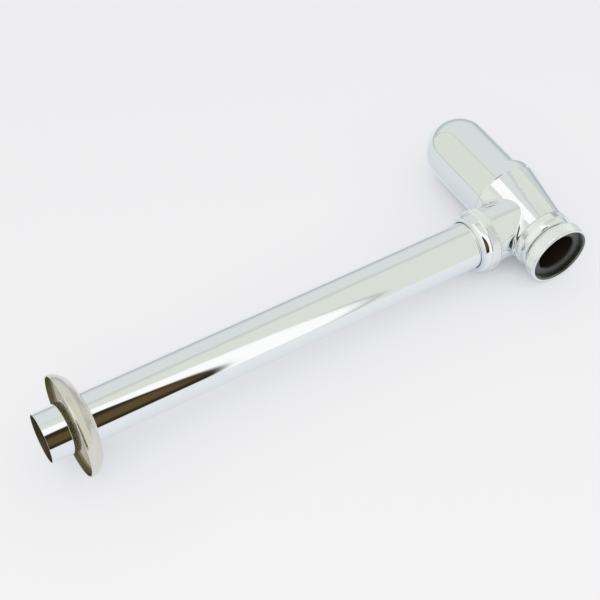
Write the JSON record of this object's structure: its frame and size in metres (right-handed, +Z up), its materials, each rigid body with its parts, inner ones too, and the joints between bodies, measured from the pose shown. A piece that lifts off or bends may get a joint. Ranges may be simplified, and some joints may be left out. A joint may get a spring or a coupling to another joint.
{
  "type": "bottle trap",
  "caption": "Chromed washbasin bottle trap: domed casting, knurled union and clamp nuts, sliding dip tube, straight outlet tube and wall flange.",
  "frame": {"origin": "centre of the union nut's mouth, where the basin waste enters", "axes": "+Z up along the inlet towards the basin, +X along the outlet tube towards the wall"},
  "size_m": [0.3805, 0.0656, 0.1383],
  "materials": {
    "trap_body": "mirror polish",
    "inlet_tube": "mirror polish",
    "inlet_seal": "matte",
    "union_nut": "knurled, polished",
    "neck_nut": "knurled, polished",
    "neck_slip_washer": "matte",
    "neck_seal": "matte",
    "outlet_nut": "knurled, polished",
    "outlet_slip_washer": "matte",
    "outlet_seal": "matte",
    "outlet_tube": "mirror polish",
    "wall_flange": "satin"
  },
  "bodies": {
    "inlet": {"inlet_tube": "inlet_tube", "inlet_seal": "inlet_seal"},
    "union_nut": {"union_nut": "union_nut"},
    "neck_seal": {"neck_seal": "neck_seal"},
    "trap": {"trap_body": "trap_body"},
    "neck_washer": {"neck_slip_washer": "neck_slip_washer"},
    "neck_nut": {"neck_nut": "neck_nut"},
    "outlet_washer": {"outlet_slip_washer": "outlet_slip_washer"},
    "outlet_nut": {"outlet_nut": "outlet_nut"},
    "outlet_seal": {"outlet_seal": "outlet_seal"},
    "outlet_tube": {"outlet_tube": "outlet_tube"},
    "wall_flange": {"wall_flange": "wall_flange"}
  },
  "joints": [
    {"name": "union_nut_turn", "type": "hinge", "parent": "inlet", "child": "union_nut", "pos_m": [0, 0, 0], "axis": [0, 0, 1], "continuous": true},
    {"name": "height_slide", "type": "slide", "parent": "inlet", "child": "neck_seal", "axis": [0, 0, 1], "range_m": [-0.04, 0]},
    {"name": "trap_swivel", "type": "hinge", "parent": "neck_seal", "child": "trap", "pos_m": [0, 0, -0.018], "axis": [0, 0, 1], "continuous": true},
    {"name": "neck_washer_lift", "type": "slide", "parent": "trap", "child": "neck_washer", "axis": [0, 0, 1], "range_m": [0, 0.0022]},
    {"name": "neck_nut_turn", "type": "hinge", "parent": "neck_washer", "child": "neck_nut", "pos_m": [0, 0, -0.017], "axis": [0, 0, 1], "range_deg": [0, 500]},
    {"name": "outlet_washer_slide", "type": "slide", "parent": "trap", "child": "outlet_washer", "axis": [1, 0, 0], "range_m": [0, 0.0062]},
    {"name": "outlet_nut_turn", "type": "hinge", "parent": "outlet_washer", "child": "outlet_nut", "pos_m": [0.04, 0, -0.039], "axis": [1, 0, 0], "range_deg": [0, 1440]},
    {"name": "outlet_swivel", "type": "hinge", "parent": "trap", "child": "outlet_seal", "pos_m": [0.04, 0, -0.039], "axis": [1, 0, 0], "continuous": true},
    {"name": "tube_slide", "type": "slide", "parent": "outlet_seal", "child": "outlet_tube", "axis": [1, 0, 0], "range_m": [-0.0015, 0.012]},
    {"name": "flange_slide", "type": "slide", "parent": "outlet_tube", "child": "wall_flange", "axis": [1, 0, 0], "range_m": [-0.25, 0.016]}
  ],
  "couplings": [
    {"joint": "neck_washer_lift", "follows": "neck_nut_turn", "m_per_rad": 0.00023873},
    {"joint": "outlet_washer_slide", "follows": "outlet_nut_turn", "m_per_rad": 0.00023873}
  ]
}
